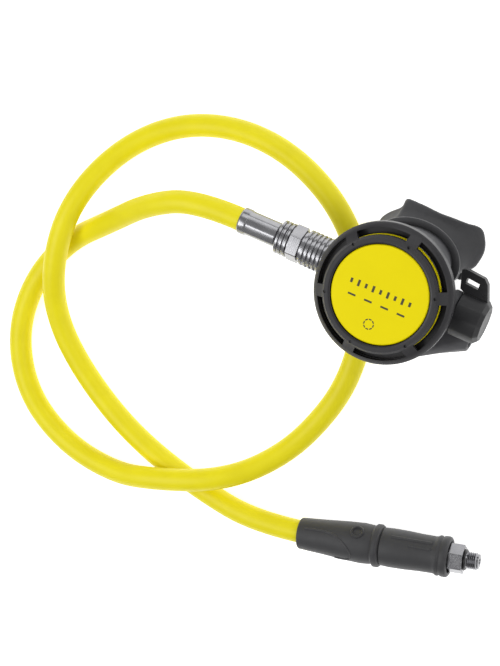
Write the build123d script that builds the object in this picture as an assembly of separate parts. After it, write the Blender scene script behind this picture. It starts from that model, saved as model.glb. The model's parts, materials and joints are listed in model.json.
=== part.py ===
"""Alternate (octopus) second stage of a scuba regulator, with its low-pressure hose.

The second stage lies on its mouthpiece, face up. +Z comes out of the purge button, +X runs along the
valve axis away from the hose, and +Y is up when the diver wears it. Everything is modelled round the
axis of the face, with z = 0 on the surface it lies on, and moved to the row's origin at the end.
"""
from build123d import *
import math
import os

# ---------------------------------------------------------------- driving sizes (mm)
face_height = 76.0            # rim of the cover above the surface that the mouthpiece stands on
valve_axis_below_face = 32.8
cover_diameter = 72.6
button_diameter = 51.0
button_travel = 3.5
hose_diameter = 12.5

# fits
slip = 0.15                   # push fits between plastic and rubber
running = 0.05                # turning and sliding metal fits
clear = 0.3                   # parts that only pass by

# cover ring
cover_wall = 2.95
cover_side = 11.2
cover_plate = 2.4
cover_edge = 1.2
cover_lip_thick = 1.4
cover_lip_width = 2.6
button_gap = 0.4
inner_rim_width = 4.2
inner_rim_flat = 3.0
inner_rim_skirt = 5.5
inner_rim_wall = 1.3
slot_width = 3.6
slot_inner_drop = 1.4         # the slotted band slopes from this far below the face
slot_outer_drop = 4.2         # to this far
shoulder_drop = 6.8
spoke_count = 6
spoke_width = 6.5
first_spoke_angle = 19.0
peg_hole_radius = 0.8

# purge button
button_recess = 0.8
button_thick = 2.2
button_wall = 1.4
button_edge = 0.6
skirt_length = 6.4
flange_width = 4.8
flange_thick = 1.2
post_radius = 3.4
spring_wire = 0.9
purge_spring_radius = 8.0
purge_spring_turns = 5

# diaphragm stack
rim_clearance = 0.2
housing_rim_wall = 1.5
housing_rim_below_face = 11.6
diaphragm_bead = 1.2
diaphragm_web = 0.6
fold_depth = 1.6
bead_width = 1.9
seat_below_face = 17.0
diaphragm_disc_radius = 14.0
diaphragm_disc_thick = 1.2
wear_disc_radius = 7.0
wear_disc_thick = 0.8
contact_gap = 0.3
guard_thick = 1.4
guard_hub_width = 5.0
guard_spoke_width = 3.0
guard_spokes = 3

# housing
housing_wall = 2.2
neck_half_width = 20.8
neck_half_height = 14.8
neck_center_y = 15.5
funnel_end_z = 32.0
neck_end_z = 20.5
inlet_boss_end = -37.0
lever_boss_out = 0.9          # how far the lever boss stands out past the rim of the case
lever_collar_radius = 11.0
lever_collar_length = 4.6
channel_start = -21.5
channel_end = 26.0

# exhaust
exhaust_boss_radius = 14.0
exhaust_port_radius = 11.4
exhaust_hub_radius = 2.6
exhaust_spoke = 1.8
exhaust_spoke_thick = 1.6
exhaust_valve_radius = 12.6
exhaust_valve_thick = 0.9
exhaust_stem_radius = 1.5
exhaust_lift = 1.5
tee_wall = 1.8
tee_least_gap = 0.6
tee_half_body = 16.0
tee_half_span = 44.0

# valve on the X axis
barrel_radius = 6.4
barrel_bore = 4.8
barrel_start = -46.0
barrel_end = 19.5
barrel_flange_thick = 1.6
orifice_start = -28.0
orifice_end = -15.5
orifice_bore = 2.0
seat_radius = 3.4
seat_thick = 1.6
poppet_length = 22.0
poppet_radius = 4.4
poppet_stem_radius = 1.6
poppet_lift = 1.1
poppet_spring_radius = 3.6
poppet_spring_wire = 0.7
poppet_spring_turns = 5
spring_pad_thick = 1.2
nut_length = 3.0

# demand lever
pivot_x = 14.0
lever_leg_thick = 1.1
lever_leg_width = 4.0
lever_foot_x = -2.0
lever_pin_radius = 1.0

# venturi lever
knob_gap = 0.4
knob_length = 15.2
knob_radius = 11.8
knob_chamfer = 2.2
shaft_radius = 5.4
shaft_start = 20.6
tab_thick = 5.0
tab_reach = 23.0
window_length = 7.0
window_width = 3.2
cap_radius = 6.5
cap_thick = 1.2
vane_wall = 1.1

# inlet fitting, nut and hose end on the X axis
fitting_start = -53.2
fin_radius = 9.7
fin_root = 8.3
fin_width = 1.15
fin_pitch = 2.35
fin_count = 6
inlet_thread_radius = 7.14    # 9/16-18
inlet_thread_end = -63.1
inlet_bore = 3.5
nut_flats = 17.5
nut_start = -67.0
nut_end = -53.6
nut_rib_radius = 9.2
stem_radius = 5.0
stem_collar_radius = 6.9
stem_collar_thick = 1.9
stem_nose_radius = 3.3
stem_nose_length = 5.2
barb_radius = 2.6
air_bore = 1.8
ferrule_start = -89.5
ferrule_end = -67.5
ferrule_radius = 6.8
ferrule_lip_radius = 7.15
ferrule_lip_length = 5.0

# mouthpiece
mouthpiece_wall = 2.2
mouthpiece_center_x = 3.0
mouthpiece_top_z = 29.0
shield_top_z = 18.5
shield_thick = 3.0
airway_half_width = 13.0
airway_half_height = 7.0
bite_tab_thick = 3.2
bite_tab_length = 17.0
bite_tab_gap = 34.0
bite_tab_ridge = 1.6
strap_thick = 1.2
strap_width = 3.6
strap_z = 25.2
bead_out = 1.1
bead_height = 2.2

# hose protector and first-stage fitting, measured along their own axis
protector_start = (-7.1, -155.8)
protector_turn = 16.3
protector_axis_z = 11.75
protector_length = 84.2
protector_mouth_radius = 8.5
protector_waist_radius = 10.3
protector_rear_radius = 9.9
collar_at = 42.5
collar_width = 4.0
collar_radius = 11.75
end_flange_width = 4.4
end_flange_radius = 11.0
hose_inside = 23.6
first_ferrule_length = 24.0
first_ferrule_radius = 6.9
shank_radius = 5.2
hex_start = 78.0
hex_end = 92.0
hex_flats = 14.29
port_thread_radius = 4.7625   # 3/8-24
port_thread_end = 100.2
fitting_o_ring_wire = 1.5

# ---------------------------------------------------------------- worked out
axis_z = face_height - valve_axis_below_face
boss_radius = barrel_radius + 3.0
channel_radius = barrel_radius + 1.9
barrel_flange_radius = channel_radius - 0.2
cover_radius = cover_diameter / 2
cover_bore = cover_radius - cover_wall
button_radius = button_diameter / 2
opening_radius = button_radius + button_gap
slot_inner = opening_radius + inner_rim_width
slot_outer = slot_inner + slot_width
housing_rim_radius = cover_bore - rim_clearance
housing_top_radius = housing_rim_radius - 0.05
lever_boss_end = housing_top_radius + lever_boss_out
knob_start = lever_boss_end + knob_gap
knob_end = knob_start + knob_length
seat_z = face_height - seat_below_face
recess_radius = housing_rim_radius - housing_rim_wall
bead_radius = recess_radius - rim_clearance
web_z = seat_z + (diaphragm_bead - diaphragm_web) / 2
disc_z = web_z + diaphragm_web
disc_top = disc_z + diaphragm_disc_thick
guard_z = disc_top + contact_gap
guard_top = guard_z + guard_thick
button_top = face_height - button_recess
button_under = button_top - button_thick
lever_foot_z = web_z - wear_disc_thick - contact_gap
wall_run = (housing_top_radius - neck_half_height + neck_center_y, seat_z - funnel_end_z)
wall_angle = math.degrees(math.atan2(wall_run[1], wall_run[0]))
wall_to_valve = (housing_top_radius * wall_run[1] - (seat_z - axis_z) * wall_run[0]) / math.hypot(*wall_run)
tee_gap = max(tee_least_gap, boss_radius - wall_to_valve + 0.2)
exhaust_boss_out = tee_gap + 2.0
port_center = (0.0, -housing_top_radius + wall_run[0] / 2, seat_z - wall_run[1] / 2)
port_axis = (0.0, -math.sin(math.radians(wall_angle)), -math.cos(math.radians(wall_angle)))

# hose route: hand-chosen points, x and y from the axis of the face, z above the surface
hose_route = [
    (ferrule_start, 0, axis_z), (-118, 0, axis_z), (-145, -11, 35.5), (-168, -33.5, 18.5),
    (-190, -58, 6.6), (-203, -88, 6.25), (-202, -122, 6.25), (-184, -152, 6.25),
    (-153, -169, 6.25), (-118, -170, 12.5), (-92, -160, 20.5), (-62, -147, 20.5),
    (-41, -131, 13), (-24, -106, 6.25), (-12, -66, 6.25), (-19, -22, 6.25),
    (-44, 14, 6.25), (-80, 34, 6.25), (-117, 38, 6.25), (-152, 26.5, 6.25),
    (-178, 1, 11), (-190.5, -34, 23), (-189.5, -70, 23), (-181, -101, 12),
    (-157, -126, 6.25), (-119, -147, 6.25), (-74, -159, 6.25),
]
approach = 21.0               # the last point of the route is this far in front of the protector


# ---------------------------------------------------------------- small helpers
def along_x(x0, x1, radius):
    """A round bar on the valve axis."""
    bar = Cylinder(radius, x1 - x0, align=(Align.CENTER, Align.CENTER, Align.MIN))
    return Pos(x0, 0, axis_z) * Rot(0, 90, 0) * bar


def x_profile(points):
    """A solid turned round the valve axis from (x, radius) points."""
    with BuildPart() as turned:
        with BuildSketch(Plane.XZ):
            with BuildLine():
                Polyline(*points, close=True)
            make_face()
        revolve(axis=Axis.X)
    return Pos(0, 0, axis_z) * turned.part


def z_profile(points):
    """A solid turned round the axis of the face from (radius, z) points."""
    with BuildPart() as turned:
        with BuildSketch(Plane.XZ):
            with BuildLine():
                Polyline(*points, close=True)
            make_face()
        revolve(axis=Axis.Z)
    return turned.part


def ring(major, minor):
    """An O-ring lying in XY."""
    return Torus(major, minor)


def x_ring(x, major, minor):
    return Pos(x, 0, axis_z) * Rot(0, 90, 0) * ring(major, minor)


def hex_bar(flats, length):
    """A hexagonal bar along +Z with chamfered corners."""
    bar = extrude(RegularPolygon(flats / 2, 6, major_radius=False), length)
    corner = flats / math.sqrt(3)
    cone_height = length + 2 * corner
    trim = Pos(0, 0, -corner) * Cylinder(
        corner * 0.975, cone_height, align=(Align.CENTER, Align.CENTER, Align.MIN)
    )
    return bar & trim


def coil(radius, wire, height, turns):
    """A round-wire compression spring standing on z = 0."""
    pitch = (height - wire) / turns
    path = Pos(0, 0, wire / 2) * Helix(pitch, height - wire, radius)
    section = Plane(path @ 0, z_dir=path % 0) * Circle(wire / 2)
    return sweep(section, path=path, is_frenet=True)


def oval(half_width, half_height, center, z):
    return Pos(center[0], center[1], z) * Ellipse(half_width, half_height)


def oval_bar(half_width, half_height, center, z0, z1):
    return extrude(oval(half_width, half_height, center, z0), z1 - z0)


def on_protector(shape):
    """Puts a part made along +X from the origin on the axis of the hose protector."""
    x, y = protector_start
    return Pos(x, y, protector_axis_z) * Rot(0, 0, protector_turn) * shape


def bar_x(x0, x1, radius):
    bar = Cylinder(radius, x1 - x0, align=(Align.CENTER, Align.CENTER, Align.MIN))
    return Pos(x0, 0, 0) * Rot(0, 90, 0) * bar


def turned_x(points):
    with BuildPart() as turned:
        with BuildSketch(Plane.XZ):
            with BuildLine():
                Polyline(*points, close=True)
            make_face()
        revolve(axis=Axis.X)
    return turned.part


def on_port(shape):
    """Puts a part made along +Z at the exhaust port, +Z pointing out of the case."""
    frame = Plane(origin=port_center, x_dir=(1, 0, 0), z_dir=port_axis)
    return frame.location * shape


# ---------------------------------------------------------------- front: cover, button, diaphragm
def cover_ring():
    wall_bottom = face_height - cover_side
    lip_top = wall_bottom + cover_lip_thick
    slot_top, slot_low = face_height - slot_inner_drop, face_height - slot_outer_drop
    shell = z_profile([
        (opening_radius, face_height - inner_rim_skirt), (opening_radius, face_height - cover_edge / 2),
        (opening_radius + cover_edge, face_height), (opening_radius + inner_rim_flat, face_height),
        (slot_inner, slot_top), (slot_outer, slot_low), (cover_radius - cover_edge, slot_low - 1),
        (cover_radius, face_height - shoulder_drop), (cover_radius, wall_bottom),
        (cover_bore - cover_lip_width, wall_bottom), (cover_bore - cover_lip_width, lip_top),
        (cover_bore, lip_top), (cover_bore, slot_low - cover_plate), (slot_inner, slot_top - cover_plate),
        (opening_radius + inner_rim_wall, slot_top - cover_plate),
        (opening_radius + inner_rim_wall, face_height - inner_rim_skirt),
    ])
    slot = z_profile([
        (slot_inner, slot_low - cover_plate - 1), (slot_inner, face_height + 1),
        (slot_outer, face_height + 1), (slot_outer, slot_low - cover_plate - 1),
    ])
    for k in range(spoke_count):
        angle = first_spoke_angle + k * 360 / spoke_count
        bar = Box(slot_outer, spoke_width, 40, align=(Align.MIN, Align.CENTER, Align.CENTER))
        slot -= Rot(0, 0, angle) * Pos(slot_inner - spoke_width / 2, 0, face_height) * bar
        hole = Cylinder(peg_hole_radius, 2.0)
        shell -= Rot(0, 0, angle) * Pos(opening_radius + inner_rim_flat - 0.4, 0, face_height) * hole
    return shell - slot


def purge_button():
    wall_end = button_top - skirt_length + flange_thick
    flare = button_radius + flange_width
    flare_top = face_height - inner_rim_skirt - contact_gap
    cap = z_profile([
        (0, button_under), (0, button_top), (button_radius - button_edge, button_top),
        (button_radius, button_top - button_edge), (button_radius, flare_top),
        (flare, wall_end), (flare, wall_end - flange_thick),
        (button_radius - button_wall, wall_end - flange_thick), (button_radius - button_wall, button_under),
    ])
    post_end = disc_top + contact_gap
    post = Cylinder(post_radius, button_under - post_end + 0.5, align=(Align.CENTER, Align.CENTER, Align.MIN))
    return cap + Pos(0, 0, post_end) * post


def purge_spring():
    height = button_under - guard_top - 2 * running
    return Pos(0, 0, guard_top + running) * coil(purge_spring_radius, spring_wire, height, purge_spring_turns)


def diaphragm_guard():
    hub_outer = post_radius + 0.8 + guard_hub_width
    hub = z_profile([
        (post_radius + 0.8, guard_z), (post_radius + 0.8, guard_top),
        (hub_outer, guard_top), (hub_outer, guard_z),
    ])
    clamp_z = seat_z + diaphragm_bead
    lip_under = face_height - cover_side
    rim = z_profile([
        (bead_radius - bead_width, clamp_z), (bead_radius - bead_width, guard_top),
        (bead_radius - bead_width, lip_under), (bead_radius, lip_under), (bead_radius, clamp_z),
    ])
    guard = hub + rim
    for k in range(guard_spokes):
        reach = bead_radius - bead_width / 2 - hub_outer + 1
        bar = Box(reach, guard_spoke_width, guard_thick, align=(Align.MIN, Align.CENTER, Align.MIN))
        guard += Rot(0, 0, 360 * k / guard_spokes) * Pos(hub_outer - 1, 0, guard_z) * bar
    return guard


def diaphragm():
    """The bead and the rolling fold, up to the centre that the disc is bonded to."""
    inner = diaphragm_disc_radius + clear
    bead_inner = bead_radius - bead_width
    start, low, end = inner + 0.35 * (bead_inner - inner), (inner + bead_inner) / 2, bead_inner - 3
    top, under = web_z + diaphragm_web, web_z
    return z_profile([
        (inner, under), (inner, top), (start, top), (low, top - fold_depth), (end, top), (bead_inner, top),
        (bead_inner, seat_z + diaphragm_bead), (bead_radius, seat_z + diaphragm_bead),
        (bead_radius, seat_z), (bead_inner, seat_z), (bead_inner, under), (end, under),
        (low, under - fold_depth), (start, under),
    ])


def diaphragm_center():
    center = Cylinder(diaphragm_disc_radius, diaphragm_web, align=(Align.CENTER, Align.CENTER, Align.MIN))
    return Pos(0, 0, web_z) * center


def diaphragm_disc():
    rim = 0.5
    return z_profile([
        (0, disc_z), (0, disc_top), (diaphragm_disc_radius - rim, disc_top),
        (diaphragm_disc_radius, disc_top - rim), (diaphragm_disc_radius, disc_z),
    ])


def wear_disc():
    disc = Cylinder(wear_disc_radius, wear_disc_thick, align=(Align.CENTER, Align.CENTER, Align.MAX))
    return Pos(0, 0, web_z) * disc


# ---------------------------------------------------------------- case
def funnel(inset):
    """The round bowl running into the oval outlet."""
    top = Pos(0, 0, seat_z) * Circle(housing_top_radius - inset)
    low = oval(neck_half_width - inset, neck_half_height - inset, (0, neck_center_y), funnel_end_z)
    return loft([top, low])


def exhaust_boss():
    boss = Cylinder(exhaust_boss_radius, 10 + exhaust_boss_out, align=(Align.CENTER, Align.CENTER, Align.MAX))
    return on_port(Pos(0, 0, exhaust_boss_out) * boss)


def exhaust_bore():
    """The opening through the boss, less the hub and spokes that hold the valve."""
    bore = Cylinder(exhaust_port_radius, 40)
    hub = Cylinder(exhaust_hub_radius, exhaust_spoke_thick, align=(Align.CENTER, Align.CENTER, Align.MAX))
    for angle in (0, 60, 120):
        bar = Box(2 * exhaust_port_radius + 2, exhaust_spoke, exhaust_spoke_thick,
                  align=(Align.CENTER, Align.CENTER, Align.MAX))
        hub += Rot(0, 0, angle) * bar
    hub -= Cylinder(exhaust_stem_radius + slip, 10)
    return on_port(bore - Pos(0, 0, exhaust_boss_out) * hub)


def inner_bosses():
    """The two ends of the valve passage, inside the bowl."""
    inlet = along_x(inlet_boss_end, channel_start, boss_radius)
    return inlet + along_x(channel_end, lever_boss_end, boss_radius)


def housing():
    rim_top = face_height - housing_rim_below_face
    rim = Cylinder(housing_rim_radius, rim_top - seat_z, align=(Align.CENTER, Align.CENTER, Align.MIN))
    body = funnel(0) + Pos(0, 0, seat_z) * rim
    body += oval_bar(neck_half_width, neck_half_height, (0, neck_center_y), neck_end_z, funnel_end_z)
    body += along_x(inlet_boss_end, lever_boss_end, boss_radius)
    body += along_x(lever_boss_end - lever_collar_length, lever_boss_end, lever_collar_radius)
    body += exhaust_boss() & Pos(0, 0, -50) * Box(200, 200, 2 * seat_z + 94)
    recess = Cylinder(recess_radius, face_height, align=(Align.CENTER, Align.CENTER, Align.MIN))
    body -= Pos(0, 0, seat_z) * recess
    bowl = loft([
        Pos(0, 0, seat_z + 0.01) * Circle(bead_radius - bead_width),
        oval(neck_half_width - housing_wall, neck_half_height - housing_wall, (0, neck_center_y),
             funnel_end_z),
    ])
    body -= bowl
    body -= oval_bar(neck_half_width - housing_wall, neck_half_height - housing_wall,
                     (0, neck_center_y), neck_end_z - 1, funnel_end_z + 0.01)
    body -= exhaust_bore()
    body -= along_x(channel_start, channel_end, channel_radius)
    body += inner_bosses()
    body -= along_x(inlet_boss_end - 1, 0, barrel_radius + slip)
    body -= along_x(0, lever_boss_end + 1, shaft_radius + running)
    return body


# ---------------------------------------------------------------- exhaust
def exhaust_valve():
    disc = Cylinder(exhaust_valve_radius, exhaust_valve_thick, align=(Align.CENTER, Align.CENTER, Align.MIN))
    stem = Cylinder(exhaust_stem_radius, 5.0, align=(Align.CENTER, Align.CENTER, Align.MAX))
    knob = Cone(exhaust_stem_radius, 2.0, 1.2, align=(Align.CENTER, Align.CENTER, Align.MIN))
    flap = Pos(0, 0, exhaust_boss_out + contact_gap) * (disc + stem)
    return on_port(flap + Pos(0, 0, exhaust_boss_out + contact_gap - 5.2) * knob)


def tee_section(x, points, inset):
    """One cross-section of the tee as a wire-bounded face, its corners moved inward by inset."""
    face = make_face(Polyline(*[(x, y, z) for y, z in points], close=True))
    return offset(face, -inset, kind=Kind.INTERSECTION) if inset else face


def tee_solid(inset, overrun):
    _, port_y, port_z = port_center
    slope = math.radians(wall_angle)
    along, out = (math.cos(slope), -math.sin(slope)), (-math.sin(slope), -math.cos(slope))
    half = exhaust_boss_radius + 2.5
    top = (port_y - half * along[0] + tee_gap * out[0], port_z - half * along[1] + tee_gap * out[1])
    foot = (port_y + half * along[0] + tee_gap * out[0], port_z + half * along[1] + tee_gap * out[1])
    shoulder = (top[0] + 6.0 * out[0], top[1] + 6.0 * out[1] + 1.0)
    middle = [top, shoulder, (shoulder[0] + 0.6, shoulder[1] - 13.0), (port_y - 8.5, port_z - 21.0),
              (foot[0] - 2.0, port_z - 22.5), foot]
    tip = [(port_y + 1.5, port_z - 14.5), (port_y - 2.0, port_z - 15.0), (port_y - 4.5, port_z - 18.5),
           (port_y - 3.0, port_z - 24.0), (port_y + 7.0, port_z - 25.0), (port_y + 9.0, port_z - 17.5)]
    core = loft([tee_section(-tee_half_body, middle, inset), tee_section(tee_half_body, middle, inset)],
                ruled=True)
    for side in (-1, 1):
        ends = [tee_section(side * tee_half_body, middle, inset), tee_section(side * tee_half_span, tip, inset)]
        core += loft(ends, ruled=True)
        if overrun:
            core += extrude(tee_section(side * tee_half_span, tip, inset), overrun, dir=(side, 0, 0))
    return core


def exhaust_tee():
    shell = tee_solid(0, 0) - tee_solid(tee_wall, 2.0)
    hole = Cylinder(exhaust_boss_radius + slip, 12)
    return shell - on_port(hole)


# ---------------------------------------------------------------- demand valve
def valve_barrel():
    flange_x = channel_start + running
    tube = along_x(barrel_start, barrel_end, barrel_radius)
    tube += along_x(flange_x, flange_x + barrel_flange_thick, barrel_flange_radius)
    tube -= along_x(barrel_start - 1, barrel_end + 1, barrel_bore)
    window = Pos(2, 0, axis_z - barrel_radius) * Box(9, 6, 2 * barrel_radius - 2)
    tube -= window
    pins = Pos(pivot_x, 0, axis_z) * Rot(90, 0, 0) * Cylinder(lever_pin_radius + running, 40)
    return tube - pins


def orifice():
    edge = orifice_end - 1.2
    return x_profile([
        (orifice_start, orifice_bore), (orifice_start, barrel_bore - running),
        (orifice_start + 5, barrel_bore - running), (orifice_start + 5, barrel_bore - 1.25),
        (orifice_start + 7, barrel_bore - 1.25), (orifice_start + 7, barrel_bore - running),
        (edge - 2, barrel_bore - running), (edge, seat_radius), (orifice_end, orifice_bore + 0.5),
        (orifice_end, orifice_bore),
    ])


def poppet():
    front = orifice_end + running
    body_start = front + seat_thick
    shoulder = front + poppet_length
    stem_end = shoulder + 6.0
    back = x_profile([
        (front, seat_radius + 0.1), (front, poppet_radius), (shoulder, poppet_radius),
        (shoulder, poppet_stem_radius), (stem_end, poppet_stem_radius), (stem_end, 0),
        (body_start, 0), (body_start, seat_radius + 0.1),
    ])
    flat = Pos(2, 0, axis_z) * Box(7, 2 * poppet_radius + 2, poppet_radius)
    ends = along_x(-3, 7, poppet_radius - 1.2)
    return back - (flat - ends)


def poppet_seat():
    front = orifice_end + running
    return along_x(front, front + seat_thick - running, seat_radius)


def poppet_spring():
    start = orifice_end + poppet_length + poppet_lift + 0.3
    end = barrel_end - nut_length - spring_pad_thick - 2 * running
    wire = coil(poppet_spring_radius, poppet_spring_wire, end - start, poppet_spring_turns)
    return Pos(start, 0, axis_z) * Rot(0, 90, 0) * wire


def spring_pad():
    end = barrel_end - nut_length - running
    pad = along_x(end - spring_pad_thick, end, barrel_bore - 0.2)
    return pad - along_x(end - 5, end + 1, poppet_stem_radius + 0.4)


def adjusting_nut():
    start = barrel_end - nut_length
    nut = along_x(start, barrel_end, barrel_bore - running)
    socket = Pos(start - 1, 0, axis_z) * Rot(0, 90, 0) * extrude(RegularPolygon(2.2, 6), nut_length + 2)
    return nut - socket


def demand_lever():
    """A sheet lever that straddles the barrel, its foot under the diaphragm."""
    leg_y = barrel_radius + 0.4 + lever_leg_thick / 2
    neck_x, bridge_z = pivot_x - 5.2, axis_z + 9.3
    parts = None
    for side in (-1, 1):
        leg = Box(9.0, lever_leg_thick, lever_leg_width)
        leg = Pos(pivot_x - 2.5, side * leg_y, axis_z + 1) * leg
        riser = Box(3.6, lever_leg_thick, 10.3, align=(Align.CENTER, Align.CENTER, Align.MIN))
        riser = Pos(neck_x, side * leg_y, axis_z - 1) * riser
        reach = barrel_radius + 0.4 + lever_leg_thick - barrel_bore - 0.4
        pin = Cylinder(lever_pin_radius, reach, align=(Align.CENTER, Align.CENTER, Align.MAX))
        pin = Pos(pivot_x, side * (barrel_radius + 0.4 + lever_leg_thick), axis_z) * Rot(-90 * side, 0, 0) * pin
        parts = leg + riser + pin if parts is None else parts + leg + riser + pin
    bridge = Box(3.6, 2 * leg_y + lever_leg_thick, lever_leg_thick)
    bridge = Pos(neck_x, 0, bridge_z) * bridge
    arm_run = neck_x - lever_foot_x
    arm_rise = lever_foot_z - lever_leg_thick - bridge_z
    arm_length = math.hypot(arm_run, arm_rise)
    arm_tilt = math.degrees(math.atan2(arm_rise, arm_run))
    arm = Box(arm_length, 4.4, lever_leg_thick, align=(Align.MAX, Align.CENTER, Align.CENTER))
    arm = Pos(neck_x, 0, bridge_z) * Rot(0, arm_tilt, 0) * arm
    foot = Rot(90, 0, 0) * Cylinder(lever_leg_thick, 6.0)
    foot = Pos(lever_foot_x, 0, lever_foot_z - lever_leg_thick) * foot
    return parts + bridge + arm + foot


# ---------------------------------------------------------------- venturi lever
def venturi_lever():
    knob = x_profile([
        (shaft_start, 0), (shaft_start, shaft_radius), (shaft_start + 4.4, shaft_radius),
        (shaft_start + 4.4, shaft_radius - 0.8), (shaft_start + 5.0, shaft_radius - 0.8),
        (shaft_start + 5.0, shaft_radius), (lever_boss_end - 4.2, shaft_radius),
        (lever_boss_end - 4.2, shaft_radius - 1.1), (lever_boss_end - 2.6, shaft_radius - 1.1),
        (lever_boss_end - 2.6, shaft_radius), (knob_start, shaft_radius), (knob_start, knob_radius),
        (knob_end - knob_chamfer, knob_radius), (knob_end, knob_radius - knob_chamfer),
        (knob_end, cap_radius + slip), (knob_end - cap_thick, cap_radius + slip), (knob_end - cap_thick, 0),
    ])
    outline = [(knob_start - 2.8, knob_radius + 0.8), (knob_start - 5.4, tab_reach - 1.0),
               (knob_start - 3.4, tab_reach), (knob_start + 7.1, tab_reach), (knob_start + 9.6, tab_reach - 2.5),
               (knob_end - 1.4, 9.0), (knob_end - 1.4, 3.0), (knob_start + 0.6, 3.0),
               (knob_start + 0.6, knob_radius - 0.8), (knob_start - 0.1, knob_radius - 0.3)]
    plate = extrude(make_face(Polyline(*outline, close=True)), tab_thick / 2, both=True)
    window = Pos(knob_start + 2.2, tab_reach - 5.4, 0) * Box(window_length, window_width, 2 * tab_thick)
    return knob + (Pos(0, 0, axis_z) * (plate - window) - along_x(0, knob_start + 0.5, knob_radius - 1.0))


def lever_cap():
    return along_x(knob_end - cap_thick, knob_end - running, cap_radius)


def venturi_vane():
    inner = barrel_radius + 0.35
    hub = along_x(shaft_start + 0.2, shaft_start + 2.2, inner + vane_wall)
    hub -= along_x(shaft_start - 1, shaft_start + 4, shaft_radius + running)
    sleeve = along_x(17.2, shaft_start + 0.3, inner + vane_wall) - along_x(16, shaft_start + 1, inner)
    scoop = Pos(0, 0, axis_z - 12) * Box(80, 40, 24)
    return hub + (sleeve & scoop)


def lever_clip():
    start = shaft_start + 4.4
    return along_x(start + running, start + 0.6 - running, 7.2) - along_x(0, 60, shaft_radius - 0.8 + running)


def lever_o_ring():
    return x_ring(lever_boss_end - 3.4, shaft_radius - 0.56, 0.52)


# ---------------------------------------------------------------- inlet
def inlet_fitting():
    seat = inlet_boss_end - running
    body = [(inlet_thread_end, inlet_bore), (inlet_thread_end, inlet_thread_radius - 0.7),
            (inlet_thread_end + 0.7, inlet_thread_radius), (fitting_start, inlet_thread_radius)]
    body += [(fitting_start, fin_root)]
    x = fitting_start + 1.6
    for k in range(fin_count):
        body += [(x, fin_root), (x, fin_radius), (x + fin_width, fin_radius), (x + fin_width, fin_root)]
        x += fin_pitch
    body += [(seat, fin_root), (seat, barrel_radius + running), (barrel_start - running, barrel_radius + running),
             (barrel_start - running, inlet_bore)]
    return x_profile(body)


def barrel_o_ring():
    return x_ring(orifice_start + 6, barrel_bore - 0.66, 0.56)


def swivel_nut():
    length = nut_end - nut_start
    nut = Pos(nut_start, 0, axis_z) * Rot(0, 90, 0) * Rot(0, 0, 30) * hex_bar(nut_flats, length)
    rib = nut_rib_radius
    root = rib - 0.9
    ribs = x_profile([
        (nut_start, 0), (nut_start, root), (nut_start + 0.6, rib), (nut_start + 1.7, rib),
        (nut_start + 2.1, root), (nut_start + 2.6, root), (nut_start + 3.0, rib), (nut_start + 4.1, rib),
        (nut_start + 4.5, root), (nut_start + 5.0, root), (nut_start + 5.4, rib), (nut_start + 6.5, rib),
        (nut_start + 6.9, root), (nut_start + 7.4, root), (nut_start + 7.4, 0),
    ])
    nut = (nut - along_x(nut_start - 1, nut_start + 7.4, 20)) + ribs
    lip = nut_start + 1.8
    nut -= along_x(nut_start - 1, nut_end + 1, stem_radius + 0.1)
    return nut - along_x(lip, nut_end + 1, inlet_thread_radius + 0.06)


def hose_stem():
    collar_end = inlet_thread_end - running
    collar_start = collar_end - stem_collar_thick
    nose_end = collar_end + stem_nose_length
    groove = collar_end + 1.6
    return x_profile([
        (ferrule_start + 3.5, air_bore), (ferrule_start + 3.5, barb_radius), (ferrule_end, barb_radius),
        (ferrule_end, stem_radius), (collar_start, stem_radius), (collar_start, stem_collar_radius),
        (collar_end, stem_collar_radius), (collar_end, stem_nose_radius), (groove, stem_nose_radius),
        (groove, stem_nose_radius - 0.9), (groove + 1.5, stem_nose_radius - 0.9),
        (groove + 1.5, stem_nose_radius), (nose_end, stem_nose_radius), (nose_end, air_bore),
    ])


def stem_o_ring():
    return x_ring(inlet_thread_end - running + 1.6 + 0.75, stem_nose_radius - 0.36, 0.5)


def second_stage_ferrule():
    lip_end = ferrule_start + ferrule_lip_length
    bore = barb_radius + running
    return x_profile([
        (ferrule_start, bore), (ferrule_start, ferrule_lip_radius - 0.6),
        (ferrule_start + 0.8, ferrule_lip_radius), (lip_end - 1.2, ferrule_lip_radius),
        (lip_end, ferrule_radius), (ferrule_end - 0.6, ferrule_radius),
        (ferrule_end, ferrule_radius - 0.6), (ferrule_end, bore),
    ]) - along_x(ferrule_start - 1, ferrule_start + 3.4, barb_radius + running)


# ---------------------------------------------------------------- mouthpiece
def mouthpiece():
    center = (0, neck_center_y)
    skirt_w = neck_half_width + slip + mouthpiece_wall
    skirt_h = neck_half_height + slip + mouthpiece_wall
    body = oval_bar(skirt_w, skirt_h, center, shield_top_z - 1, mouthpiece_top_z)
    body += oval_bar(skirt_w + bead_out, skirt_h + bead_out, center, mouthpiece_top_z - bead_height,
                     mouthpiece_top_z)
    groove = oval_bar(skirt_w + 5, skirt_h + 5, center, strap_z - strap_width / 2 - slip,
                      strap_z + strap_width / 2 + slip)
    groove -= oval_bar(skirt_w - 0.9, skirt_h - 0.9, center, strap_z - 9, strap_z + 9)
    body -= groove
    top, low = 38.5, 0.5
    with BuildSketch(Plane.XY.offset(shield_top_z - shield_thick)) as outline:
        with BuildLine():
            ThreePointArc((-21, top), (0, top - 2.4), (21, top))
            Spline((21, top), (28.5, 29), (24, 17), (15.5, 6), (0, low),
                   (-15.5, 6), (-24, 17), (-28.5, 29), (-21, top))
        make_face()
    body += Pos(mouthpiece_center_x, 0, 0) * extrude(outline.sketch, shield_thick)
    for side in (-1, 1):
        body += bite_tab(side)
    airway = oval_bar(airway_half_width, airway_half_height, center, shield_top_z - 20, neck_end_z)
    body -= airway
    return body - oval_bar(neck_half_width + slip, neck_half_height + slip, center,
                           neck_end_z - running, mouthpiece_top_z + 1)


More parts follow.
